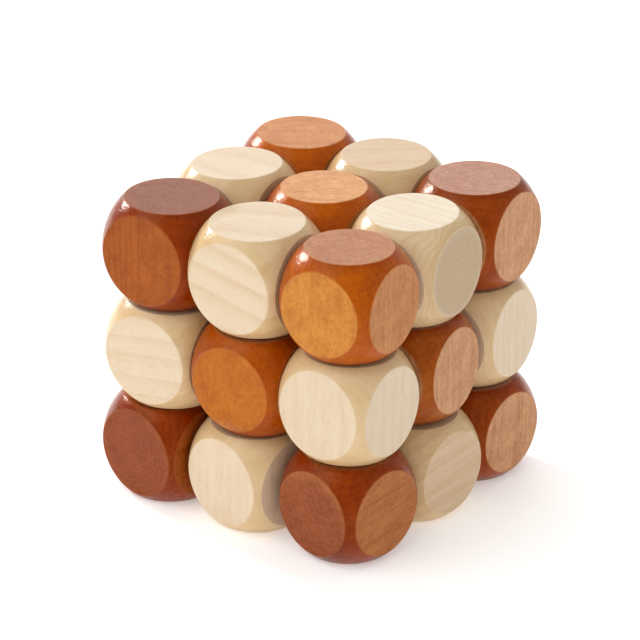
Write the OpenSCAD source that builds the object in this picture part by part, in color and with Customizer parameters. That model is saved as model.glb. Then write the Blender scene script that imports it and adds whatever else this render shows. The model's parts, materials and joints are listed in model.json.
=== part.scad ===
// Folding cube puzzle: wooden cubelets threaded on one elastic cord, folded up into a cube.
// Each cubelet is a ball cut flat on six sides. Dark stained and pale ones alternate along the cord.
// The cord fills the cube layer by layer, in rows that turn back at each end, and climbs from one
// layer to the next at a corner. Units are millimetres and +Z is up.

/* [Cubelets] */
// Width of a cubelet across its flats
cubelet_w = 18; // [17:0.5:20]
// Radius of the ball that a cubelet is rounded to
round_r = 11.9; // [11.2:0.1:12.2]
// Slack between the flats of two cubelets side by side, which lets them turn a little
slack = 0.7; // [0.7:0.1:1.5]
// Slack between two layers, which lets a layer swing round on the cord
layer_slack = 0.65; // [0.65:0.05:1.5]

/* [Cord] */
// Diameter of the elastic cord
cord_d = 2; // [1.5:0.1:2.2]
// Diameter of the holes that the cord runs through
hole_d = 5; // [4.8:0.1:6]
// Radius of the cord's turn inside a corner cubelet
bend_r = 3; // [2.5:0.1:3.5]

/* [Cord ends] */
// Diameter of the knot at each end of the cord
knot_d = 4.4; // [3.5:0.1:4.6]
// Length of the glued plug that holds a knot back
plug_l = 3; // [2:0.1:3.2]

/* [Hidden] */
$fn = 72;
side = 3;
per_layer = side * side;
cubelet_count = side * side * side;
pitch = cubelet_w + slack;
layer_pitch = cubelet_w + layer_slack;
// How far a blind hole runs past the middle of a cubelet
corner_over = 1;
end_over = 4;
plug_gap = 0.02;
cord_gap = 0.05;
// Gap between a knot's stub and the run of cord that meets it at a small angle
stub_gap = 0.15;
// Places along the bore of an end cubelet, measured from its middle towards its mouth
knot_at = knot_d / 2 - end_over;
plug_at = knot_at + knot_d / 2 + 0.2;
stub_end = plug_at + plug_l + 0.2;
dark_wood = "#9a4a1c";
pale_wood = "#ecd6ae";
dowel_wood = "#d9b98a";
elastic_black = "#2b2a2c";

// How the cubelets have settled: degrees about X, Y and Z, how much fuller each is rounded in mm, and
// how far it has slid along X and Y in mm, which the wide holes allow.
// Layers run from the bottom up, and in each the rows run from front to back and left to right.
SETTLED = [
    [[0, 0, -6, 0.2, -1.2, 0], [0, 0, -8, 0.1, -0.7, 0], [0, 0, -8, -0.1, 0, 0],
     [0, 0, -5, 0.0, 0, 0], [0, 0, -6, 0.1, 0, 0], [0, 0, -7, -0.2, 0.8, 0],
     [0, 0, -6, 0.1, 0, 0], [0, 0, -5, -0.1, 0, 0], [0, 0, -5, -0.2, 0.6, 0]],
    [[0, 1, 3, 0.2, 0, 0], [2, 0, 2, -0.1, 0, 0], [-2, 0, 0, 0.0, 0, 0],
     [0, 0, 1, 0.1, 0, 0], [0, 0, 0, 0.0, 0, 0], [0, -1, 3, -0.1, 0, 0],
     [0, 0, 0, 0.0, 0, 0], [0, 0, 2, 0.1, 0, 0], [0, -1, 3, 0.0, 0, 0]],
    [[0, 1, 3, 0.2, 0, 0], [2, 0, 2, 0.2, 0, 0], [0, 0, 2, -0.2, 0, 0],
     [0, -1, 0, 0.1, 0, 0], [0, 0, -1, -0.2, 0, 0], [2, 0, 2, 0.0, 0, 0],
     [0, 1, 0, 0.1, 0, 0], [0, 0, 1, 0.1, 0, 0], [0, 0, 2, 0.1, 0, 0]]
];

// Where cubelet n of the cord lies in the cube, as column, row and layer
function forward_step(m) = [floor(m / side) % 2 == 0 ? m % side : side - 1 - m % side, floor(m / side)];
function layer_step(m, layer) = forward_step(layer % 2 == 0 ? m : per_layer - 1 - m);
function cell(n) = concat(layer_step((n - 1) % per_layer, floor((n - 1) / per_layer)),
                          [floor((n - 1) / per_layer)]);
function settled(n) = SETTLED[cell(n).z][cell(n).y * side + cell(n).x];
function slid(n) = [settled(n)[4], settled(n)[5], 0];

// Where the cord runs in cubelet n, which is the cubelet's middle unless it has slid
function centre(n) = [(cell(n).x - 1) * pitch, (cell(n).y - 1) * pitch, cubelet_w / 2 + cell(n).z * layer_pitch];
function is_dark(n) = n % 2 == 1;

// Direction of the cord as it reaches cubelet n and as it leaves it
function cord_in(n) = cell(n) - cell(n - 1);
function cord_out(n) = cell(n + 1) - cell(n);
function is_end(n) = n == 1 || n == cubelet_count;
function is_straight(n) = !is_end(n) && cord_in(n) == cord_out(n);
function is_corner(n) = !is_end(n) && !is_straight(n);

// Cubelets where a straight run of cord starts and ends: the two ends and every corner
knees = [for (n = [1:cubelet_count]) if (!is_straight(n)) n];
run_count = len(knees) - 1;

function two_digits(n) = n < 10 ? str("0", n) : str(n);
function cubelet_kind(n) = is_end(n) ? "end" : is_straight(n) ? "straight" : "corner";
function cubelet_name(n) = str("cubelet_", two_digits(n), "_", cubelet_kind(n));
function run_name(r) = str("cord_run_", two_digits(r));

// Turns +Z to point along the direction d
module along(d) {
    rotate([0, acos(d.z), atan2(d.y, d.x)]) children();
}

// Puts a piece in cubelet n's place, turned as that cubelet has settled
module place(n) {
    turn = settled(n);
    translate(centre(n) + slid(n)) rotate([turn[0], turn[1], turn[2]]) children();
}

// A round hole from the middle of a cubelet out through the flat that faces d
module cord_hole(d, past_middle) {
    along(d) translate([0, 0, -past_middle]) cylinder(d = hole_d, h = past_middle + cubelet_w);
}

// The solid cubelet: a ball of radius r cut flat on six sides
module cubelet_blank(r) {
    intersection() {
        sphere(r = r);
        cube(cubelet_w, center = true);
    }
}

// An end cubelet has one blind hole, a straight one a hole right through, and a corner one has
// two blind holes that meet at its middle
module cubelet(n) {
    past_middle = is_straight(n) ? cubelet_w : is_corner(n) ? corner_over : end_over;
    color(is_dark(n) ? dark_wood : pale_wood) place(n)
        difference() {
            cubelet_blank(round_r + settled(n)[3]);
            if (n > 1) cord_hole(-cord_in(n), past_middle);
            if (n < cubelet_count && !is_straight(n)) cord_hole(cord_out(n), past_middle);
        }
}

// A quarter turn of cord at the middle of corner cubelet n
module cord_bend(n) {
    i = cord_in(n);
    o = cord_out(n);
    axis = cross(i, o);
    arc_centre = centre(n) + bend_r * (o - i);
    multmatrix([[-o.x, i.x, axis.x, arc_centre.x],
                [-o.y, i.y, axis.y, arc_centre.y],
                [-o.z, i.z, axis.z, arc_centre.z],
                [0, 0, 0, 1]])
        rotate_extrude(angle = 90) translate([bend_r, 0]) circle(d = cord_d);
}

// The cord from one knee to the next, with the bend at its first knee
module cord_run(r) {
    first = knees[r - 1];
    last = knees[r];
    d = cord_out(first);
    from = is_end(first) ? stub_end + stub_gap + slid(first) * d : bend_r;
    to = is_end(last) ? stub_end + stub_gap - slid(last) * d : bend_r;
    reach = norm(centre(last) - centre(first));
    color(elastic_black) {
        translate(centre(first)) along(d) translate([0, 0, from]) cylinder(d = cord_d, h = reach - from - to);
        if (!is_end(first)) cord_bend(first);
    }
}

// The knot in end cubelet n and the short length of cord through its plug; d points out of the hole
module cord_knot(n, d) {
    color(elastic_black) place(n) along(d) translate([0, 0, knot_at]) {
        sphere(d = knot_d);
        cylinder(d = cord_d, h = stub_end - knot_at);
    }
}

// The bored wooden plug that is glued in the hole of end cubelet n; d points out of the hole
module plug(n, d) {
    color(dowel_wood) place(n) along(d) translate([0, 0, plug_at])
        difference() {
            cylinder(d = hole_d - 2 * plug_gap, h = plug_l);
            translate([0, 0, -1]) cylinder(d = cord_d + 2 * cord_gap, h = plug_l + 2);
        }
}

for (n = [1:cubelet_count])
    cubelet(n);
for (r = [1:run_count])
    cord_run(r);
cord_knot(1, cord_out(1));  // cord_knot_start
cord_knot(cubelet_count, -cord_in(cubelet_count));  // cord_knot_finish
plug(1, cord_out(1));  // plug_start
plug(cubelet_count, -cord_in(cubelet_count));  // plug_finish
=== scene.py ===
"""Folding cube puzzle: wooden cubelets on one elastic cord, folded up into a cube.

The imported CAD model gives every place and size. This script builds a finished mesh and a wood
finish for each cubelet, a braided run of elastic for each length of cord, a knot at each end of the
cord, and the studio round them.
Lengths are metres in Blender; names that end in _mm are millimetres.
"""

import json
import logging
import math
from dataclasses import dataclass, field, replace
from enum import Enum
from functools import partial
from typing import ClassVar

import bmesh
import bpy
from mathutils import Euler, Matrix, Vector

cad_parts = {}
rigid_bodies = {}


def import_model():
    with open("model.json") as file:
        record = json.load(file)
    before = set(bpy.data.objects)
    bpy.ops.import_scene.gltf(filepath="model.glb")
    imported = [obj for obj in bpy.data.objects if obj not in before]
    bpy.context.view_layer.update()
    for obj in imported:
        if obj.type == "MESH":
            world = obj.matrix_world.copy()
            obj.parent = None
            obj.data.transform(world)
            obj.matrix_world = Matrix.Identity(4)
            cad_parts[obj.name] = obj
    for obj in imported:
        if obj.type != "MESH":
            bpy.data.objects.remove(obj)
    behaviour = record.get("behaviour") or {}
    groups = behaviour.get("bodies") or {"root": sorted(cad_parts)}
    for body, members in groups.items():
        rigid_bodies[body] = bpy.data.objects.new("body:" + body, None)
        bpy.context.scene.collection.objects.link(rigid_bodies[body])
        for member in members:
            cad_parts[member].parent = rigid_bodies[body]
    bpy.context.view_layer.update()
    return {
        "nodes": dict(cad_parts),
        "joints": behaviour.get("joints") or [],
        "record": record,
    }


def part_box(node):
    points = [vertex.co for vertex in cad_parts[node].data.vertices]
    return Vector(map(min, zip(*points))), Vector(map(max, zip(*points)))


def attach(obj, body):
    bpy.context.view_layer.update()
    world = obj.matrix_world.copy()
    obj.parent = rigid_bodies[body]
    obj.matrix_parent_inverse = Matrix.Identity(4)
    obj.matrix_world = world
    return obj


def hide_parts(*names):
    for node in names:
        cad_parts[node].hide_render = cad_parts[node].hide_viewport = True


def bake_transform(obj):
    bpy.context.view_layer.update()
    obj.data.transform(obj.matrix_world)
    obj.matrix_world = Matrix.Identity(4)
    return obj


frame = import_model()

log = logging.getLogger("folding_cube")

MM = 0.001
# Noise scales in the wood, as features to a millimetre
CLOUD_PER_MM = 0.22
SPECK_PER_MM = 1.3
RIPPLE_PER_MM = 1.8
FIBRE_PER_MM = 1.9
PORE_PER_MM = 3.6
WANDER_PER_MM = 0.2
WAVER_PER_MM = 0.9
# How far the growth rings stray from circles, slowly and finely
WANDER_MM = 2.4
WAVER_MM = 0.35
# Late wood darkens by this power over a season, and fades out from this share of it on
LATE_POWER = 2.2
LATE_END = 0.86
# How far the surface's relief stands out, and the lacquer's ripple and the streaks as shares of it
RELIEF_MM = 0.03
RIPPLE_HEIGHT = 4.0
STREAK_HEIGHT = 0.4
# Step along the grain from one cubelet's place in the tree to the next one's
LOG_STEP_MM = 37.0
# Cosines to the grain at which a surface starts to be end grain, and is nothing else
END_FROM = 0.6
END_TO = 0.82
# Depths under the ball and under the flats where the mask for holes is full, and where it ends
UNDER_BALL_MM = (1.6, 1.2)
UNDER_FLAT_MM = (0.3, 0.25)
# Cosines above which a face belongs to a flat, of the CAD node and of the new mesh
CAD_FLAT = 0.9
NEW_FLAT = 0.99999
SHARP_DEGREES = 32
DRILL_POINT_DEGREES = 31
# Height that the camera and the lamps aim at, about half the puzzle's own
AIM_HEIGHT = 28 * MM
X_AXIS = Vector((1, 0, 0))
Y_AXIS = Vector((0, 1, 0))
Z_AXIS = Vector((0, 0, 1))


def linear(hex_colour: str) -> tuple[float, float, float, float]:
    """Turns an sRGB hex colour into the linear colour that shaders take.

    Args:
        hex_colour: A hash and six hex digits.

    Returns:
        Linear red, green and blue, and an alpha of 1.
    """
    channels = [int(hex_colour[i : i + 2], 16) / 255 for i in (1, 3, 5)]
    made = [c / 12.92 if c <= 0.04045 else ((c + 0.055) / 1.055) ** 2.4 for c in channels]
    return (made[0], made[1], made[2], 1.0)


def add_node(
    tree: bpy.types.NodeTree, kind: str, inputs: dict, out: int = 0, **settings
) -> bpy.types.NodeSocket | None:
    """Adds one shader node with its settings and links.

    Args:
        tree: The node tree that it goes in.
        kind: Blender's name for the node type, without ShaderNode.
        inputs: Input socket, by name or number, to a value or to the output that feeds it.
        out: Which of the node's outputs to return.
        **settings: Properties of the node itself, such as operation.

    Returns:
        That output, or None if the node has no outputs.
    """
    node = tree.nodes.new(f"ShaderNode{kind}")
    for key, value in settings.items():
        setattr(node, key, value)
    for key, value in inputs.items():
        if isinstance(value, bpy.types.NodeSocket):
            tree.links.new(value, node.inputs[key])
        else:
            node.inputs[key].default_value = value
    return node.outputs[out] if node.outputs else None


def new_material(name: str) -> bpy.types.Material:
    """Makes a material with an empty node tree.

    Args:
        name: The material's name.

    Returns:
        The new material.
    """
    material = bpy.data.materials.new(name)
    material.use_nodes = True
    material.node_tree.nodes.clear()
    return material


def new_piece(name: str, mesh_maker: bmesh.types.BMesh, material: bpy.types.Material) -> bpy.types.Object:
    """Turns a finished bmesh into an object at the origin, in its material.

    Args:
        name: The piece's name.
        mesh_maker: The bmesh, which is freed.
        material: The material that it wears.

    Returns:
        The new object.
    """
    mesh = bpy.data.meshes.new(name)
    mesh_maker.to_mesh(mesh)
    mesh_maker.free()
    mesh.materials.append(material)
    piece = bpy.data.objects.new(name, mesh)
    bpy.context.scene.collection.objects.link(piece)
    return piece


class Kind(Enum):
    """What the cord does inside a cubelet."""

    END = "end"
    STRAIGHT = "straight"
    CORNER = "corner"


class Cut(Enum):
    """Which way the grain runs in a cubelet: degrees about X, Y and Z that turn it from upright."""

    UPRIGHT = (0, 0, 0)
    LEANING = (-4, 5, 25)
    SIDEWAYS = (0, 90, 0)
    SIDEWAYS_FALLING = (0, 101, 0)
    SIDEWAYS_RISING = (0, 83, 0)
    ACROSS = (0, 88, 38)
    DEEPWAYS = (90, 0, 0)
    DEEPWAYS_RISING = (97, 0, 0)


@dataclass(frozen=True)
class Grain:
    """Where a cubelet lay in the tree.

    pith_mm is the middle of the growth rings as seen along the grain, from the cubelet's middle, and
    ring_mm is their spacing. rings and streaks are how strongly those show. side is how much of the end
    grain's colour the quarter-sawn sides take.
    """

    cut: Cut = Cut.UPRIGHT
    pith_mm: tuple[float, float] = (38.0, 14.0)
    ring_mm: float = 1.5
    rings: float = 0.5
    streaks: float = 0.5
    side: float = 0.0


@dataclass(frozen=True)
class WoodFinish:
    """Schima or a like close-grained hardwood, tumbled to a ball, finished, then sanded flat six times.

    The ball's surface keeps its lacquer, so it is deeper in colour and glossier than the flats, which
    are sanded and thinly sealed. End grain drinks more of the finish and comes out darker.
    """

    name: str
    flat: str
    flat_end: str
    round: str
    round_end: str
    late: str
    pore: str
    # rim is a lighter colour painted round every flat: partly the paler sanded edge, partly a painted
    # highlight for the light that the eased rim catches
    rim: str
    drilled: str
    mottle: float = 0.5
    pores: float = 0.22
    sheen: str = "#FFC890"
    flat_roughness: float = 0.44
    round_roughness: float = 0.17
    streak_roughness: float = 0.08
    rim_share: float = 0.2

    def material(self, cubelet: "Cubelet") -> bpy.types.Material:
        """Builds this finish for one cubelet, with its own grain.

        Args:
            cubelet: The cubelet that wears it.

        Returns:
            The material.
        """
        material = new_material(f"{self.name}_{cubelet.number:02d}")
        add = partial(add_node, material.node_tree)
        grain = cubelet.grain
        local = self._cubelet_space(add, cubelet)
        flat, rim, drilled = self._places(add, local, cubelet)
        wood = self._grain_space(add, local, cubelet)
        end = self._end_grain(add, local, grain)
        late, streak, pore = self._figure(add, wood, grain)

        cloud = add("TexNoise", {"Vector": local, "Scale": CLOUD_PER_MM, "Detail": 3.0, "Roughness": 0.6})
        cloud = add("MapRange", {0: cloud, 1: 0.35, 2: 0.65}, interpolation_type="SMOOTHSTEP")
        speck = add("TexNoise", {"Vector": local, "Scale": SPECK_PER_MM, "Detail": 3.0, "Roughness": 0.7})
        speck = add("MapRange", {0: speck, 1: 0.4, 2: 0.66}, interpolation_type="SMOOTHSTEP")
        mottle = add("Math", {0: cloud, 1: speck}, operation="ADD")
        mottle = add("Math", {0: mottle, 1: 0.5 * self.mottle}, operation="MULTIPLY")

        sanded = add(
            "Mix", {0: end, 6: linear(self.flat), 7: linear(self.flat_end)}, 2, data_type="RGBA"
        )
        turned = add(
            "Mix", {0: end, 6: linear(self.round), 7: linear(self.round_end)}, 2, data_type="RGBA"
        )
        colour = add("Mix", {0: flat, 6: turned, 7: sanded}, 2, data_type="RGBA")
        layers = (
            (mottle, 1.0, self.late),
            (late, grain.rings, self.late),
            (streak, grain.streaks, self.late),
            (pore, self.pores, self.pore),
        )
        for mask, strength, tint in layers:
            share = add("Math", {0: mask, 1: strength}, operation="MULTIPLY")
            inputs = {0: share, 6: colour, 7: linear(tint)}
            colour = add("Mix", inputs, 2, data_type="RGBA", blend_type="MULTIPLY")
        # Lighter band round each flat: partly the paler sanded edge, partly a painted highlight on the
        # eased rim
        rims = add("Math", {0: rim, 1: self.rim_share}, operation="MULTIPLY")
        colour = add("Mix", {0: rims, 6: colour, 7: linear(self.rim)}, 2, data_type="RGBA")
        colour = add("Mix", {0: drilled, 6: colour, 7: linear(self.drilled)}, 2, data_type="RGBA")

        gloss = add("MapRange", {0: flat, 3: self.round_roughness, 4: self.flat_roughness})
        gloss = add("Math", {0: streak, 1: self.streak_roughness, 2: gloss}, operation="MULTIPLY_ADD")
        gloss = add("Math", {0: gloss, 1: drilled}, operation="MAXIMUM")
        shader = add(
            "BsdfPrincipled",
            {
                "Base Color": colour,
                "Roughness": gloss,
                "IOR": 1.4,
                "Specular Tint": linear(self.sheen),
                "Normal": self._relief(add, local, flat, streak, pore),
            },
        )
        add("OutputMaterial", {"Surface": shader})
        return material

    @staticmethod
    def _cubelet_space(add: partial, cubelet: "Cubelet") -> bpy.types.NodeSocket:
        """Places the material square to the cubelet's flats.

        Args:
            add: Adds a node to the material being built.
            cubelet: The cubelet that wears it.

        Returns:
            Coordinates in millimetres from the cubelet's middle.
        """
        back = cubelet.turn.inverted()
        placed = {
            "Vector": add("TexCoord", {}, 3),
            "Location": -(back @ cubelet.centre) / MM,
            "Rotation": back.to_euler("XYZ"),
            "Scale": (1 / MM, 1 / MM, 1 / MM),
        }
        return add("Mapping", placed)

    @staticmethod
    def _places(
        add: partial, local: bpy.types.NodeSocket, cubelet: "Cubelet"
    ) -> tuple[bpy.types.NodeSocket, ...]:
        """Tells the parts of the surface apart.

        Args:
            add: Adds a node to the material being built.
            local: Coordinates in millimetres, square to the flats.
            cubelet: The cubelet that wears the material.

        Returns:
            Masks for the flats, for the eased rim round each, and for the drilled holes.
        """
        size = add("VectorMath", {0: local}, operation="ABSOLUTE")
        parts = add("SeparateXYZ", {0: size}).node.outputs
        height = add("Math", {0: parts[0], 1: parts[1]}, operation="MAXIMUM")
        height = add("Math", {0: height, 1: parts[2]}, operation="MAXIMUM")
        half_mm = cubelet.half / MM
        rim_mm = (cubelet.half - cubelet.rim * (1 - math.cos(cubelet.rim_angle))) / MM
        flat = add("MapRange", {0: height, 1: half_mm - 0.05, 2: half_mm - 0.005})
        eased = add("MapRange", {0: height, 1: rim_mm - 0.05, 2: rim_mm + 0.02})
        rim = add("Math", {0: eased, 1: flat}, operation="SUBTRACT")
        reach = add("VectorMath", {0: local}, 1, operation="LENGTH")
        radius_mm = cubelet.radius / MM
        deep, shallow = UNDER_BALL_MM
        inside = {0: reach, 1: radius_mm - deep, 2: radius_mm - shallow, 3: 1.0, 4: 0.0}
        inside = add("MapRange", inside)
        deep, shallow = UNDER_FLAT_MM
        below = {0: height, 1: half_mm - deep, 2: half_mm - shallow, 3: 1.0, 4: 0.0}
        below = add("MapRange", below)
        drilled = add("Math", {0: inside, 1: below}, operation="MULTIPLY")
        return flat, rim, drilled

    @staticmethod
    def _grain_space(
        add: partial, local: bpy.types.NodeSocket, cubelet: "Cubelet"
    ) -> bpy.types.NodeSocket:
        """Turns the material to the grain.

        Args:
            add: Adds a node to the material being built.
            local: Coordinates in millimetres, square to the flats.
            cubelet: The cubelet that wears the material.

        Returns:
            Coordinates in millimetres whose Z runs along the grain, from the tree's middle.
        """
        grain = cubelet.grain
        back = Euler([math.radians(a) for a in grain.cut.value]).to_matrix().inverted()
        pith = Vector((-grain.pith_mm[0], -grain.pith_mm[1], LOG_STEP_MM * cubelet.number))
        return add("Mapping", {"Vector": local, "Location": pith, "Rotation": back.to_euler("XYZ")})

    @staticmethod
    def _end_grain(
        add: partial, local: bpy.types.NodeSocket, grain: Grain
    ) -> bpy.types.NodeSocket:
        """Finds the end grain.

        Args:
            add: Adds a node to the material being built.
            local: Coordinates in millimetres, square to the flats.
            grain: Which way the grain runs.

        Returns:
            A mask that is 1 where the surface cuts across the grain, and less on quarter-sawn sides.
        """
        back = Euler([math.radians(a) for a in grain.cut.value]).to_matrix().inverted()
        turned = add("Mapping", {"Vector": local, "Rotation": back.to_euler("XYZ")})
        way = add("VectorMath", {0: turned}, operation="NORMALIZE")
        along = add("Math", {0: add("SeparateXYZ", {0: way}, 2)}, operation="ABSOLUTE")
        end = add("MapRange", {0: along, 1: END_FROM, 2: END_TO}, interpolation_type="SMOOTHSTEP")
        aside = add("Math", {0: add("SeparateXYZ", {0: way}, 0)}, operation="ABSOLUTE")
        ranges = {0: aside, 1: END_FROM, 2: END_TO, 4: grain.side}
        return add("Math", {0: end, 1: add("MapRange", ranges)}, operation="MAXIMUM")

    @staticmethod
    def _figure(
        add: partial, wood: bpy.types.NodeSocket, grain: Grain
    ) -> tuple[bpy.types.NodeSocket, ...]:
        """Draws the wood's figure.

        Args:
            add: Adds a node to the material being built.
            wood: Coordinates along the grain, in millimetres.
            grain: Ring spacing.

        Returns:
            Masks for late wood in the rings, for fine streaks and for pores.
        """
        slow = add("Mapping", {"Vector": wood, "Scale": (1.0, 1.0, 0.12)})
        wander = add("TexNoise", {"Vector": slow, "Scale": WANDER_PER_MM, "Detail": 2.0})
        fine = add("TexNoise", {"Vector": slow, "Scale": WAVER_PER_MM, "Detail": 2.0})
        parts = add("SeparateXYZ", {0: wood}).node.outputs
        flat_wood = add("CombineXYZ", {0: parts[0], 1: parts[1]})
        radius = add("VectorMath", {0: flat_wood}, 1, operation="LENGTH")
        radius = add("Math", {0: wander, 1: WANDER_MM, 2: radius}, operation="MULTIPLY_ADD")
        radius = add("Math", {0: fine, 1: WAVER_MM, 2: radius}, operation="MULTIPLY_ADD")
        season = add("Math", {0: radius, 1: 1 / grain.ring_mm}, operation="MULTIPLY")
        season = add("Math", {0: season}, operation="FRACT")
        rise = add("Math", {0: season, 1: LATE_POWER}, operation="POWER")
        fall = add("MapRange", {0: season, 1: LATE_END, 2: 1.0, 3: 1.0, 4: 0.0})
        late = add("Math", {0: rise, 1: fall}, operation="MULTIPLY")
        # Fibres are about 0.02 mm wide, drawn wider so that they show, and widest on the flat-sawn sides
        fibre = add("Mapping", {"Vector": wood, "Scale": (0.3, 1.0, 0.05)})
        fibres = {"Vector": fibre, "Scale": FIBRE_PER_MM, "Detail": 4.0, "Roughness": 0.7}
        streak = add("TexNoise", fibres)
        streak = add("MapRange", {0: streak, 1: 0.42, 2: 0.7}, interpolation_type="SMOOTHSTEP")
        # Pores are about 0.06 mm across and 0.5 mm long where the cut follows them, drawn four times as big
        vessel = add("Mapping", {"Vector": wood, "Scale": (1.0, 1.0, 0.14)})
        pore = add("TexNoise", {"Vector": vessel, "Scale": PORE_PER_MM, "Detail": 1.0, "Roughness": 0.4})
        pore = add("MapRange", {0: pore, 1: 0.6, 2: 0.72}, interpolation_type="SMOOTHSTEP")
        return late, streak, pore

    @staticmethod
    def _relief(
        add: partial,
        local: bpy.types.NodeSocket,
        flat: bpy.types.NodeSocket,
        streak: bpy.types.NodeSocket,
        pore: bpy.types.NodeSocket,
    ) -> bpy.types.NodeSocket:
        """Gives the surface its relief: open grain on the flats, and a ripple in the lacquer round them.

        Args:
            add: Adds a node to the material being built.
            local: Coordinates in millimetres, square to the flats.
            flat: Mask for the flats.
            streak: Mask for fine streaks.
            pore: Mask for pores.

        Returns:
            The normal.
        """
        bumps = {"Vector": local, "Scale": RIPPLE_PER_MM, "Detail": 3.0, "Roughness": 0.6}
        ripple = add("TexNoise", bumps)
        open_grain = add("Math", {0: streak, 1: STREAK_HEIGHT}, operation="MULTIPLY")
        open_grain = add("Math", {0: open_grain, 1: pore}, operation="SUBTRACT")
        ripple = add("Math", {0: ripple, 1: RIPPLE_HEIGHT}, operation="MULTIPLY")
        height = add("Mix", {0: flat, 2: ripple, 3: open_grain})
        return add("Bump", {"Height": height, "Strength": 0.6, "Distance": RELIEF_MM * MM})


# Reddish brown water stain under clear lacquer: deep and glossy, with the grain showing through
RED_BROWN = WoodFinish(
    name="stained_hardwood_red",
    flat="#A8571B",
    flat_end="#944621",
    round="#943600",
    round_end="#802A00",
    late="#C08E70",
    pore="#A87858",
    # rim: partly the paler sanded edge round the flats, partly a painted highlight on the eased rim
    rim="#C07A44",
    drilled="#7A4426",
)
# The same stain, paler where the wood took less of it
RUSSET = replace(RED_BROWN, name="stained_hardwood_russet", flat="#BA753F", flat_end="#9A4F2A")
PINK_BROWN = replace(
    RED_BROWN, name="stained_hardwood_pink", flat="#D29E71", flat_end="#C08E78", round="#9E4204"
)
# An orange stain under the same lacquer, in four strengths
ORANGE_BROWN = replace(
    RED_BROWN,
    name="stained_hardwood_orange",
    flat="#D58E3D",
    flat_end="#BE8258",
    round="#BE5C04",
    round_end="#A64602",
    # rim: partly the paler sanded edge round the flats, partly a painted highlight on the eased rim
    rim="#D8985A",
)
DEEP_ORANGE = replace(ORANGE_BROWN, name="stained_hardwood_deep_orange", flat="#C26E1C", round="#B25202")
LIGHT_BROWN = replace(ORANGE_BROWN, name="stained_hardwood_light", flat="#E3A669", flat_end="#C88A64")
TAN_BROWN = replace(LIGHT_BROWN, name="stained_hardwood_tan", flat="#D38F55")
# The same wood left its own colour under clear lacquer: cream, a little yellower where it is round
CREAM = WoodFinish(
    name="clear_hardwood",
    flat="#E3CEB2",
    flat_end="#CDB693",
    round="#E0C295",
    round_end="#D0AE7D",
    late="#EAD8BE",
    pore="#D8C0A0",
    # rim: partly the paler sanded edge round the flats, partly a painted highlight on the eased rim
    rim="#EFE2C8",
    drilled="#C7A67C",
    mottle=0.2,
    pores=0.15,
    sheen="#FFFFFF",
)
# The same clear lacquer on a paler wood and on a yellower one
WHITE_CREAM = replace(
    CREAM, name="clear_hardwood_white", flat="#EADCC4", flat_end="#BFA583", round="#E1C79D"
)
STRAW = replace(CREAM, name="clear_hardwood_straw", flat="#D7BB9A", round="#DBBC8D")


@dataclass(frozen=True)
class DowelFinish:
    """Beech dowel, cut and left bare: dry and matt, pinkish cream, with short dark flecks."""

    name: str = "bare_beech_dowel"
    ground: str = "#D9B98A"
    fleck: str = "#A87C50"

    def material(self) -> bpy.types.Material:
        """Builds the dowel's material.

        Returns:
            The material.
        """
        material = new_material(self.name)
        add = partial(add_node, material.node_tree)
        placed = {"Vector": add("TexCoord", {}, 3), "Scale": (1 / MM, 0.15 / MM, 1 / MM)}
        along = add("Mapping", placed)
        fleck = add("TexNoise", {"Vector": along, "Scale": 3.0, "Detail": 3.0})
        fleck = add("MapRange", {0: fleck, 1: 0.5, 2: 0.7})
        colours = {0: fleck, 6: linear(self.ground), 7: linear(self.fleck)}
        colour = add("Mix", colours, 2, data_type="RGBA")
        normal = add("Bump", {"Height": fleck, "Strength": 0.4, "Distance": RELIEF_MM * MM})
        shader = add("BsdfPrincipled", {"Base Color": colour, "Roughness": 0.75, "Normal": normal})
        add("OutputMaterial", {"Surface": shader})
        return material


@dataclass(frozen=True)
class ElasticFinish:
    """Round elastic: rubber threads under a tight braided polyester cover, black with a dull sheen."""

    name: str = "braided_elastic"
    thread: str = "#3A3A3E"
    # Painted shade: the dark colour put in the braid's grooves, where the weave's relief is lowest
    painted_groove_shade: str = "#101012"
    thread_mm: float = 0.5
    threads: int = 8

    def material(self, label: str) -> bpy.types.Material:
        """Builds the braid on the cord's own attribute: a point round it, and millimetres along it.

        Args:
            label: What the material's name ends with.

        Returns:
            The material.
        """
        material = new_material(f"{self.name}_{label}")
        add = partial(add_node, material.node_tree)
        braid = add("Attribute", {}, 1, attribute_name="braid")
        parts = add("SeparateXYZ", {0: braid}).node.outputs
        angle = add("Math", {0: parts[1], 1: parts[0]}, operation="ARCTAN2")
        around = add("Math", {0: angle, 1: self.threads / 2}, operation="MULTIPLY")
        along = add("Math", {0: parts[2], 1: math.pi / self.thread_mm}, operation="MULTIPLY")
        one = add("Math", {0: around, 1: along}, operation="ADD")
        other = add("Math", {0: around, 1: along}, operation="SUBTRACT")
        one = add("Math", {0: one}, operation="SINE")
        other = add("Math", {0: other}, operation="SINE")
        weave = add("Math", {0: one, 1: other}, operation="MULTIPLY")
        weave = add("MapRange", {0: weave, 1: -0.6, 2: 0.6}, interpolation_type="SMOOTHSTEP")
        # The weave's low parts get the darker colour: painted shade in the grooves between the threads
        colours = {0: weave, 6: linear(self.painted_groove_shade), 7: linear(self.thread)}
        colour = add("Mix", colours, 2, data_type="RGBA")
        normal = add("Bump", {"Height": weave, "Strength": 0.8, "Distance": 0.08 * MM})
        made = {"Base Color": colour, "Roughness": 0.7, "Sheen Weight": 0.3, "Normal": normal}
        add("OutputMaterial", {"Surface": add("BsdfPrincipled", made)})
        return material


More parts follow.
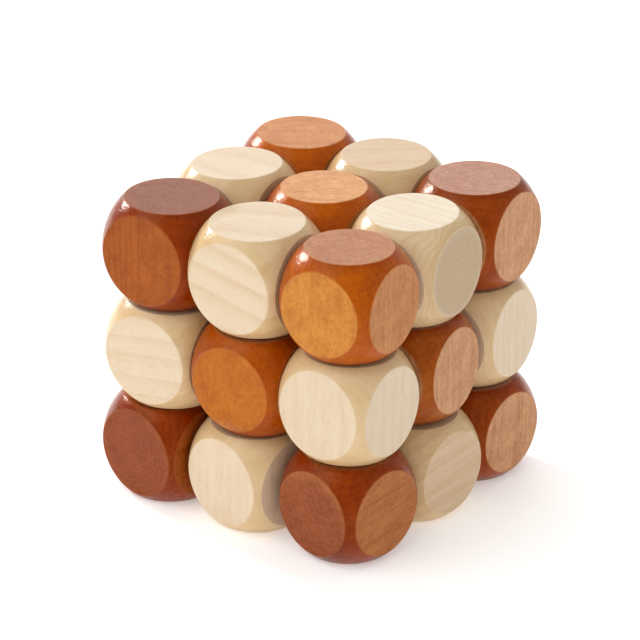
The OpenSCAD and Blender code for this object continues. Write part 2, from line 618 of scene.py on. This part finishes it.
@dataclass
class Cubelet:
    """One cubelet: a ball with six sanded flats, and the hole or holes that the cord runs through."""

    number: int
    node: str
    body: str
    kind: Kind
    grain: Grain
    finish: WoodFinish
    rim: float = 0.45 * MM
    rim_steps: int = 5
    steps: int = 72
    border: float = 0.35 * MM
    hole_radius: float = 2.5 * MM
    chamfer: float = 0.25 * MM
    bend: float = 3.0 * MM
    bend_steps: int = 12
    blind: float = 4.0 * MM
    centre: Vector = field(init=False)
    turn: Matrix = field(init=False)
    radius: float = field(init=False)
    half: float = field(init=False)
    holes: list[Vector] = field(init=False, default_factory=list)

    def __post_init__(self) -> None:
        """Reads the cubelet's place, turn and size from its CAD node."""
        low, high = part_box(self.node)
        mesh = frame["nodes"][self.node].data
        faced = []
        for axis in (X_AXIS, Y_AXIS, Z_AXIS):
            out = ((low + high) / 2).dot(axis) + 2 * self.hole_radius
            facing = [p for p in mesh.polygons if p.normal.dot(axis) > CAD_FLAT]
            facing = [p for p in facing if p.center.dot(axis) > out]
            faced.append(sum((p.normal * p.area for p in facing), Vector()).normalized())
        self.turn = Matrix(faced).transposed().to_quaternion().to_matrix()
        self.centre = Vector()
        for way in self.turn.col:
            heights = [v.co.dot(way) for v in mesh.vertices]
            self.centre += way * (min(heights) + max(heights)) / 2
            self.half = (max(heights) - min(heights)) / 2
        self.radius = max((v.co - self.centre).length for v in mesh.vertices)

    @property
    def rim_reach(self) -> float:
        """Distance from a flat's middle to where its rim starts to turn over."""
        return math.sqrt((self.radius - self.rim) ** 2 - (self.half - self.rim) ** 2)

    @property
    def rim_angle(self) -> float:
        """How far the rim turns over before it meets the ball."""
        return math.atan2(self.rim_reach, self.half - self.rim)

    def build(self) -> bpy.types.Object:
        """Makes the cubelet's mesh, wood and piece.

        Returns:
            The piece, which rides on its body in place of the CAD node.
        """
        maker = bmesh.new()
        flats = self._ball(maker)
        mouths = [self._mouth(maker, flats[tuple(way)], way) for way in self.holes]
        if self.kind is Kind.STRAIGHT:
            ring = self._deepen(maker, mouths[0], self.holes[0], self.chamfer - self.half)
            self._weld(maker, ring["verts"], mouths[1])
        elif self.kind is Kind.CORNER:
            self._bend_bore(maker, mouths)
        else:
            self._blind_bore(maker, mouths[0])
        bmesh.ops.recalc_face_normals(maker, faces=maker.faces[:])
        for face in maker.faces:
            face.smooth = True
        for edge in maker.edges:
            edge.smooth = edge.calc_face_angle(0.0) < math.radians(SHARP_DEGREES)
        maker.transform(Matrix.Translation(self.centre) @ self.turn.to_4x4())
        piece = new_piece(f"wood_{self.number:02d}", maker, self.finish.material(self))
        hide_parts(self.node)
        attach(piece, self.body)
        log.info("cubelet %02d: %s, %d faces", self.number, self.kind.value, len(piece.data.polygons))
        return piece

    def _ball(self, maker: bmesh.types.BMesh) -> dict[tuple, bmesh.types.BMFace]:
        """Makes the ball with its six flats and eased rims.

        Args:
            maker: The empty bmesh.

        Returns:
            The face of each flat, by the direction that it faces.
        """
        ways = [way * sign for way in (X_AXIS, Y_AXIS, Z_AXIS) for sign in (1, -1)]
        bmesh.ops.create_icosphere(maker, subdivisions=5, radius=self.radius)
        clear_of_rims = self.radius * math.cos(self.rim_angle) - self.border
        cut_off = [v for v in maker.verts if max(v.co.dot(way) for way in ways) > clear_of_rims]
        bmesh.ops.delete(maker, geom=cut_off, context="VERTS")
        bmesh.ops.delete(maker, geom=maker.edges[:], context="EDGES_FACES")
        for way in ways:
            facing = way.to_track_quat("Z", "Y").to_matrix().to_4x4()
            for step in range(self.rim_steps + 1):
                angle = self.rim_angle * step / self.rim_steps
                reach = self.rim_reach + self.rim * math.sin(angle)
                height = self.half - self.rim + self.rim * math.cos(angle)
                place = facing @ Matrix.Translation((0, 0, height))
                bmesh.ops.create_circle(maker, segments=self.steps, radius=reach, matrix=place)
        bmesh.ops.convex_hull(maker, input=maker.verts[:])
        loose = [e for e in maker.edges if not e.link_faces]
        bmesh.ops.delete(maker, geom=loose, context="EDGES")
        maker.normal_update()
        flats = {}
        for way in ways:
            facing = [f for f in maker.faces if f.normal.dot(way) > NEW_FLAT]
            flats[tuple(way)] = bmesh.ops.dissolve_faces(maker, faces=facing)["region"][0]
        bmesh.ops.inset_region(
            maker, faces=list(flats.values()), thickness=self.border, use_even_offset=True
        )
        return flats

    def _mouth(
        self, maker: bmesh.types.BMesh, flat: bmesh.types.BMFace, way: Vector
    ) -> list[bmesh.types.BMEdge]:
        """Opens a chamfered round mouth in a flat.

        Args:
            maker: The cubelet's bmesh.
            flat: The flat's face.
            way: The direction that it faces.

        Returns:
            The edges round the inner end of the chamfer.
        """
        reach = self.rim_reach - self.border
        to_mouth = reach - self.hole_radius - self.chamfer
        bmesh.ops.inset_region(maker, faces=[flat], thickness=to_mouth, use_even_offset=True)
        bmesh.ops.inset_region(maker, faces=[flat], thickness=self.chamfer, use_even_offset=True)
        bmesh.ops.translate(maker, verts=flat.verts[:], vec=way * -self.chamfer)
        mouth = flat.edges[:]
        bmesh.ops.delete(maker, geom=[flat], context="FACES_ONLY")
        return mouth

    def _deepen(
        self, maker: bmesh.types.BMesh, mouth: list[bmesh.types.BMEdge], way: Vector, height: float
    ) -> dict[str, list]:
        """Extrudes a mouth's edges inwards.

        Args:
            maker: The cubelet's bmesh.
            mouth: The edges.
            way: The direction that the mouth faces.
            height: Where the hole's wall ends, above the cubelet's middle.

        Returns:
            The "verts" and "edges" at that end.
        """
        grown = bmesh.ops.extrude_edge_only(maker, edges=mouth)["geom"]
        verts = [g for g in grown if isinstance(g, bmesh.types.BMVert)]
        edges = [g for g in grown if isinstance(g, bmesh.types.BMEdge)]
        bmesh.ops.translate(maker, verts=verts, vec=way * (height - self.half + self.chamfer))
        return {"verts": verts, "edges": edges}

    def _weld(
        self, maker: bmesh.types.BMesh, verts: list[bmesh.types.BMVert], edges: list[bmesh.types.BMEdge]
    ) -> None:
        """Joins a ring of vertices to the ring of edges that lies on it.

        Args:
            maker: The cubelet's bmesh.
            verts: The ring of vertices.
            edges: The ring of edges.
        """
        both = set(verts) | {vert for edge in edges for vert in edge.verts}
        bmesh.ops.remove_doubles(maker, verts=list(both), dist=self.chamfer / 5)

    def _bend_bore(self, maker: bmesh.types.BMesh, mouths: list[list[bmesh.types.BMEdge]]) -> None:
        """Joins two mouths at right angles with a bore that turns between them.

        Args:
            maker: The cubelet's bmesh.
            mouths: The edges of each mouth.
        """
        start, finish = self.holes
        ring = self._deepen(maker, mouths[0], start, self.bend)
        spun = bmesh.ops.spin(
            maker,
            geom=ring["verts"] + ring["edges"],
            cent=(start + finish) * self.bend,
            axis=finish.cross(start),
            angle=math.radians(90),
            steps=self.bend_steps,
        )
        last = [g for g in spun["geom_last"] if isinstance(g, bmesh.types.BMVert)]
        other = self._deepen(maker, mouths[1], finish, self.bend)
        self._weld(maker, last, other["edges"])

    def _blind_bore(self, maker: bmesh.types.BMesh, mouth: list[bmesh.types.BMEdge]) -> None:
        """Sinks a blind hole with a drill point at its end.

        Args:
            maker: The cubelet's bmesh.
            mouth: The edges of the hole's mouth.
        """
        way = self.holes[0]
        ring = self._deepen(maker, mouth, way, -self.blind)
        bottom = bmesh.ops.edgeloop_fill(maker, edges=ring["edges"])["faces"]
        point = bmesh.ops.poke(maker, faces=bottom)["verts"]
        depth = self.hole_radius * math.tan(math.radians(DRILL_POINT_DEGREES))
        bmesh.ops.translate(maker, verts=point, vec=way * -depth)


class Tube:
    """A round tube of cord that grows along a path, with its braid marked on it as it goes."""

    def __init__(self, point: Vector, way: Vector, radius: float, steps: int = 24) -> None:
        """Makes the circle that the tube grows from.

        Args:
            point: The middle of the circle.
            way: The direction that the tube sets out in.
            radius: The circle's radius.
            steps: Sides round the tube.
        """
        self.point, self.way, self.radius = point, way, radius
        self.travelled = 0.0
        self.maker = bmesh.new()
        self.marks = self.maker.verts.layers.float_vector.new("braid")
        place = Matrix.Translation(point) @ way.to_track_quat("Z", "Y").to_matrix().to_4x4()
        made = bmesh.ops.create_circle(self.maker, segments=steps, radius=radius, matrix=place)
        for vert in made["verts"]:
            flat = place.inverted() @ vert.co
            vert[self.marks] = Vector((flat.x / radius, flat.y / radius, 0.0))
        self.ring = self.maker.edges[:]

    def grow(self, point: Vector, way: Vector, radius: float | None = None) -> None:
        """Extrudes the tube's last circle to the next point of its path.

        Args:
            point: The middle of the new circle.
            way: The direction that the tube goes on in.
            radius: The new circle's radius, if it changes.
        """
        radius = radius or self.radius
        turn = self.way.rotation_difference(way).to_matrix().to_4x4()
        size = Matrix.Scale(radius / self.radius, 4)
        move = Matrix.Translation(point) @ turn @ size @ Matrix.Translation(-self.point)
        grown = bmesh.ops.extrude_edge_only(self.maker, edges=self.ring)["geom"]
        verts = [g for g in grown if isinstance(g, bmesh.types.BMVert)]
        bmesh.ops.transform(self.maker, matrix=move, verts=verts)
        self.travelled += (point - self.point).length
        for vert in verts:
            vert[self.marks] = Vector((vert[self.marks].x, vert[self.marks].y, self.travelled / MM))
        self.ring = [g for g in grown if isinstance(g, bmesh.types.BMEdge)]
        self.point, self.way, self.radius = point, way, radius

    def close(self) -> bmesh.types.BMesh:
        """Caps both ends and smooths the sides.

        Returns:
            The finished bmesh.
        """
        bmesh.ops.holes_fill(self.maker, edges=self.maker.edges[:], sides=0)
        bmesh.ops.recalc_face_normals(self.maker, faces=self.maker.faces[:])
        for face in self.maker.faces:
            face.smooth = len(face.verts) == 4
        return self.maker


@dataclass
class CordRun:
    """One run of the elastic cord, from one knee to the next, with the bend at its first knee."""

    number: int
    node: str
    first: Cubelet
    last: Cubelet
    finish: ElasticFinish
    stretches: bool
    bend_steps: int = 12
    stride: float = 1.0 * MM

    def build(self) -> bpy.types.Object:
        """Makes the run's tube and its braid.

        Returns:
            The piece, which stands for the CAD node and stretches with it.
        """
        low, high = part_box(self.node)
        radius = min(high - low) / 2
        way = nearest_axis(self.last.centre - self.first.centre)
        near, far = sorted((low.dot(way), high.dot(way)))
        here = (low + high) / 2
        if self.first.kind is Kind.END:
            here += way * (near - here.dot(way))
            tube = Tube(here, way, radius)
        else:
            back = self.first.holes[0]
            least, most = sorted((low.dot(back), high.dot(back)))
            here += way * (near + radius - here.dot(way)) + back * (least + radius - here.dot(back))
            bend = most - least - radius
            tube = Tube(here + back * bend, -back, radius)
            for step in range(1, self.bend_steps + 1):
                angle = math.radians(90) * step / self.bend_steps
                level, climb = math.cos(angle), math.sin(angle)
                point = here + (way * (1 - level) + back * (1 - climb)) * bend
                tube.grow(point, way * climb - back * level)
        start, rest = tube.point, far - tube.point.dot(way)
        count = round(rest / self.stride)
        for step in range(1, count + 1):
            tube.grow(start + way * rest * step / count, way)
        piece = new_piece(
            f"elastic_{self.number:02d}", tube.close(), self.finish.material(f"{self.number:02d}")
        )
        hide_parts(self.node)
        self._attach(piece)
        log.info("cord run %02d: %.1f mm", self.number, tube.travelled / MM)
        return piece

    def _attach(self, piece: bpy.types.Object) -> None:
        """Has the run ride on its first knee where nothing pulls it, and otherwise bakes its place into its
        mesh.

        Args:
            piece: The run.
        """
        if not self.stretches:
            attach(piece, self.first.body)
            return
        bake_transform(piece)


@dataclass
class CordKnot:
    """The overhand knot that stops one end of the cord, pulled tight, and its stub through the plug.

    The cord in the knot is squeezed thinner than the rest, so that the knot fits in the CAD knot's ball.
    cut_out is how many degrees of the trefoil are left out at each end, flattened is its height as a
    share of its reach, and widest is the trefoil's own greatest radius, a little rounded up.
    """

    label: str
    cubelet: Cubelet
    finish: ElasticFinish
    squeezed: float = 0.55 * MM
    spare: float = 0.05 * MM
    steps: int = 96
    cut_out: float = 14.0
    flattened: float = 0.5
    widest: float = 3.05

    def build(self) -> bpy.types.Object:
        """Ties the knot inside the CAD knot's ball.

        Returns:
            The piece, which stands for the CAD knot.
        """
        node = f"cord_knot_{self.label}"
        way = self.cubelet.turn @ self.cubelet.holes[0]
        spots = [v.co - self.cubelet.centre for v in frame["nodes"][node].data.vertices]
        heights = [spot.dot(way) for spot in spots]
        ball = max((spot - way * spot.dot(way)).length for spot in spots)
        tip = max(heights)
        stub = max((s - way * tip).length for s, height in zip(spots, heights) if height > tip - self.spare)
        middle = self.cubelet.centre + way * (min(heights) + ball)
        end = self.cubelet.centre + way * tip
        facing = way.to_track_quat("Z", "Y").to_matrix()
        path = [middle + facing @ spot for spot in self._loops(ball - self.squeezed - self.spare)]
        top = middle + way * (ball - self.squeezed)
        path += [path[-1].lerp(top, 0.35), path[-1].lerp(top, 0.75), top]
        ways = [(b - a).normalized() for a, b in zip(path, path[2:])]
        tube = Tube(path[0], (path[1] - path[0]).normalized(), self.squeezed)
        for point, onward in zip(path[1:], ways):
            tube.grow(point, onward)
        for share in (0.25, 0.5, 0.75, 1.0):
            radius = self.squeezed + (stub - self.squeezed) * min(1, 2 * share)
            tube.grow(top.lerp(end, share), way, radius)
        piece = new_piece(f"elastic_knot_{self.label}", tube.close(), self.finish.material(self.label))
        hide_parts(node)
        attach(piece, self.cubelet.body)
        log.info("cord knot %s: %.1f mm of cord", self.label, tube.travelled / MM)
        return piece

    def _loops(self, reach: float) -> list[Vector]:
        """Traces an overhand knot, as a trefoil that is cut open.

        Args:
            reach: Radius of the ball that the cord's middle stays in.

        Returns:
            Points along it, from its tail.
        """
        points = []
        for step in range(self.steps + 1):
            turned = math.radians(self.cut_out + (360 - 2 * self.cut_out) * step / self.steps)
            out = (2 + math.cos(3 * turned)) * reach / self.widest
            across, deep = out * math.cos(2 * turned), out * math.sin(2 * turned)
            points.append(Vector((across, deep, math.sin(3 * turned) * reach * self.flattened)))
        return points


def nearest_axis(way: Vector) -> Vector:
    """Finds the axis that a direction is closest to.

    Args:
        way: The direction.

    Returns:
        The unit vector along X, Y or Z, or against it.
    """
    ways = [axis * sign for axis in (X_AXIS, Y_AXIS, Z_AXIS) for sign in (1, -1)]
    return max(ways, key=way.dot)


@dataclass(frozen=True)
class FloorFinish:
    """Matt white paper on a light table, lit a little from below so that shadows on it stay faint."""

    name: str = "white_paper"
    sheet: str = "#FCFCFB"
    shade: str = "#F8F8F6"
    flecks: float = 900.0
    glow: float = 0.32

    def material(self) -> bpy.types.Material:
        """Builds the paper's material.

        Returns:
            The material.
        """
        material = new_material(self.name)
        add = partial(add_node, material.node_tree)
        fleck = add("TexNoise", {"Vector": add("TexCoord", {}, 3), "Scale": self.flecks})
        colours = {0: fleck, 6: linear(self.sheet), 7: linear(self.shade)}
        colour = add("Mix", colours, 2, data_type="RGBA")
        made = {
            "Base Color": colour,
            "Roughness": 0.9,
            "Emission Color": linear(self.sheet),
            "Emission Strength": self.glow,
        }
        shader = add("BsdfPrincipled", made)
        add("OutputMaterial", {"Surface": shader})
        return material


@dataclass(frozen=True)
class Lamp:
    """A square soft light, placed by the direction from the puzzle's middle towards it."""

    name: str
    way: tuple[float, float, float]
    distance: float
    size: float
    power: float
    colour: str = "#FFFFFF"

    def build(self, aim: Vector) -> None:
        """Puts the lamp up.

        Args:
            aim: The point that it faces.
        """
        data = bpy.data.lights.new(self.name, "AREA")
        data.size = self.size
        data.energy = self.power
        data.color = linear(self.colour)[:3]
        lamp = bpy.data.objects.new(self.name, data)
        way = Vector(self.way).normalized()
        lamp.location = aim + way * self.distance
        lamp.rotation_euler = way.to_track_quat("Z", "Y").to_euler()
        bpy.context.scene.collection.objects.link(lamp)


@dataclass
class Studio:
    """A white paper floor, soft light all round, a large key light and a camera."""

    aim: Vector
    azimuth: float = 36.01
    elevation: float = 24.76
    distance: float = 520.0 * MM
    lens: float = 166.4
    aside: float = -0.69 * MM
    above: float = 1.82 * MM
    floor_size: float = 6.0
    sky: float = 0.61
    lamps: tuple[Lamp, ...] = (
        Lamp("key", (-0.45, -0.75, 0.85), 0.9, 0.7, 2.8),
        Lamp("back", (-0.542, 0.731, 0.60), 0.9, 0.7, 2.4),
        Lamp("fill", (0.95, 0.15, 0.35), 0.9, 0.6, 0.5, "#DCE8FF"),
        Lamp("glint", (-0.958, 0.136, 0.40), 0.9, 0.06, 3.6),
    )

    def build(self) -> None:
        """Makes the floor, the light and the camera."""
        self._floor()
        for lamp in self.lamps:
            lamp.build(self.aim)
        self._sky()
        self._camera()
        log.info("studio: %d lamps", len(self.lamps))

    def _floor(self) -> None:
        """Lays the floor under the puzzle."""
        maker = bmesh.new()
        bmesh.ops.create_grid(maker, x_segments=8, y_segments=8, size=self.floor_size / 2)
        floor = new_piece("floor", maker, FloorFinish().material())

    def _sky(self) -> None:
        """Gives an even pale light from all round."""
        world = bpy.data.worlds.new("studio")
        world.use_nodes = True
        world.node_tree.nodes.clear()
        add = partial(add_node, world.node_tree)
        glow = add("Background", {"Color": linear("#FFFFFF"), "Strength": self.sky})
        add("OutputWorld", {"Surface": glow})
        bpy.context.scene.world = world

    def _camera(self) -> None:
        """Stands the camera where it sees the front, the right side and the top."""
        turn, lift = math.radians(self.azimuth), math.radians(self.elevation)
        level = math.cos(lift)
        back = Vector((math.sin(turn) * level, -math.cos(turn) * level, math.sin(lift)))
        right = Vector((math.cos(turn), math.sin(turn), 0))
        up = back.cross(right)
        camera = bpy.data.objects.new("camera", bpy.data.cameras.new("camera"))
        camera.data.lens = self.lens
        camera.data.clip_start = 0.01
        camera.location = self.aim + back * self.distance + right * self.aside + up * self.above
        camera.rotation_euler = back.to_track_quat("Z", "Y").to_euler()
        bpy.context.scene.collection.objects.link(camera)
        bpy.context.scene.camera = camera
        bpy.context.scene.view_settings.view_transform = "Standard"


@dataclass
class FoldingCube:
    """The whole puzzle: 27 cubelets, the cord's runs between them, its knots and their plugs."""

    cubelets: list[Cubelet] = field(default_factory=list)

    # Finish and grain of the cubelets, by their number along the cord; any other has a spare of each
    WOODS: ClassVar[dict[int, tuple[WoodFinish, Grain]]] = {
        1: (RED_BROWN, Grain(Cut.DEEPWAYS, (-1.6, 1.2), 0.9, 0.5, 0.15)),
        2: (CREAM, Grain(Cut.UPRIGHT, (30.0, -22.0), 1.8, 0.2, 0.15)),
        3: (RUSSET, Grain(Cut.DEEPWAYS_RISING, (34.0, 20.0), 1.3, 0.3, 0.4)),
        4: (STRAW, Grain(Cut.DEEPWAYS_RISING, (-26.0, 30.0), 2.2, 0.5, 0.35)),
        9: (PINK_BROWN, Grain(Cut.UPRIGHT, (30.0, 9.0), 1.5, 0.3, 0.35)),
        10: (CREAM, Grain(Cut.UPRIGHT, (26.0, 18.0), 2.0, 0.2, 0.3)),
        15: (replace(PINK_BROWN, round="#AA5410"), Grain(Cut.UPRIGHT, (-28.0, 16.0), 1.3, 0.3, 0.35)),
        16: (CREAM, Grain(Cut.UPRIGHT, (24.0, -28.0), 2.6, 0.2, 0.2)),
        17: (DEEP_ORANGE, Grain(Cut.LEANING, (18.0, 30.0), 1.6, 0.15, 0.15)),
        18: (CREAM, Grain(Cut.SIDEWAYS_RISING, (30.0, 12.0), 3.0, 0.4, 0.12)),
        19: (replace(RED_BROWN, flat_end="#93563E"), Grain(Cut.UPRIGHT, (3.0, -2.0), 1.0, 0.4, 0.15)),
        20: (CREAM, Grain(Cut.SIDEWAYS_FALLING, (28.0, 16.0), 3.4, 0.6, 0.12)),
        21: (ORANGE_BROWN, Grain(Cut.UPRIGHT, (22.0, 24.0), 1.4, 0.15, 0.2, 0.6)),
        22: (WHITE_CREAM, Grain(Cut.SIDEWAYS, (0.5, 0.4), 0.7, 0.5, 0.06)),
        23: (LIGHT_BROWN, Grain(Cut.ACROSS, (24.0, 16.0), 1.8, 0.2, 0.15)),
        24: (CREAM, Grain(Cut.SIDEWAYS, (32.0, 16.0), 3.0, 0.4, 0.12)),
        25: (TAN_BROWN, Grain(Cut.ACROSS, (34.0, 12.0), 1.6, 0.2, 0.15)),
        26: (STRAW, Grain(Cut.ACROSS, (28.0, -18.0), 2.6, 0.4, 0.2)),
        27: (PINK_BROWN, Grain(Cut.UPRIGHT, (1.2, 0.8), 0.9, 0.3, 0.3)),
    }

    def build(self) -> None:
        """Builds every piece of the puzzle."""
        self._read_cubelets()
        for cubelet in self.cubelets:
            cubelet.build()
        self._build_cord()
        self._dress_plugs()

    def _read_cubelets(self) -> None:
        """Finds the cubelets in the frame, in their order along the cord, and which way their holes go."""
        home = {n: body for body, nodes in frame["record"]["behaviour"]["bodies"].items() for n in nodes}
        cuts = list(Cut)
        for node in sorted(n for n in frame["nodes"] if n.startswith("cubelet_")):
            number = int(node.split("_")[1])
            spare = Grain(cuts[number % len(cuts)], (20.0 + number, 31.0 - number), 1.6, 0.3, 0.2)
            finish = ORANGE_BROWN if number % 2 else CREAM
            finish, grain = self.WOODS.get(number, (finish, spare))
            kind = Kind(node.split("_")[2])
            self.cubelets.append(Cubelet(number, node, home[node], kind, grain, finish))
        for one, other in zip(self.cubelets, self.cubelets[1:]):
            way = nearest_axis(other.centre - one.centre)
            one.holes.append(way)
            other.holes.append(-way)

    def _build_cord(self) -> None:
        """Builds the runs of cord and the knots at its two ends."""
        knees = [c for c in self.cubelets if c.kind is not Kind.STRAIGHT]
        pulled = {frozenset((j["parent"], j["child"])) for j in frame["joints"] if j["type"] == "slide"}
        braid = ElasticFinish()
        for number, (first, last) in enumerate(zip(knees, knees[1:]), start=1):
            stretches = frozenset((first.body, last.body)) in pulled
            CordRun(number, f"cord_run_{number:02d}", first, last, braid, stretches).build()
        CordKnot("start", self.cubelets[0], braid).build()
        CordKnot("finish", self.cubelets[-1], braid).build()

    def _dress_plugs(self) -> None:
        """Gives the plugs their bare dowel."""
        dowel = DowelFinish().material()
        for node in ("plug_start", "plug_finish"):
            dress(frame["nodes"][node], dowel)


def dress(piece: bpy.types.Object, material: bpy.types.Material) -> None:
    """Gives a CAD piece one material.

    Args:
        piece: The piece.
        material: The material, which takes the place of any that it has.
    """
    piece.data.materials.clear()
    piece.data.materials.append(material)


def main() -> None:
    """Builds the puzzle and the studio."""
    logging.basicConfig(level=logging.INFO, format="%(name)s: %(message)s")
    FoldingCube().build()
    Studio(aim=Vector((0, 0, AIM_HEIGHT))).build()


if __name__ == "__main__":
    main()
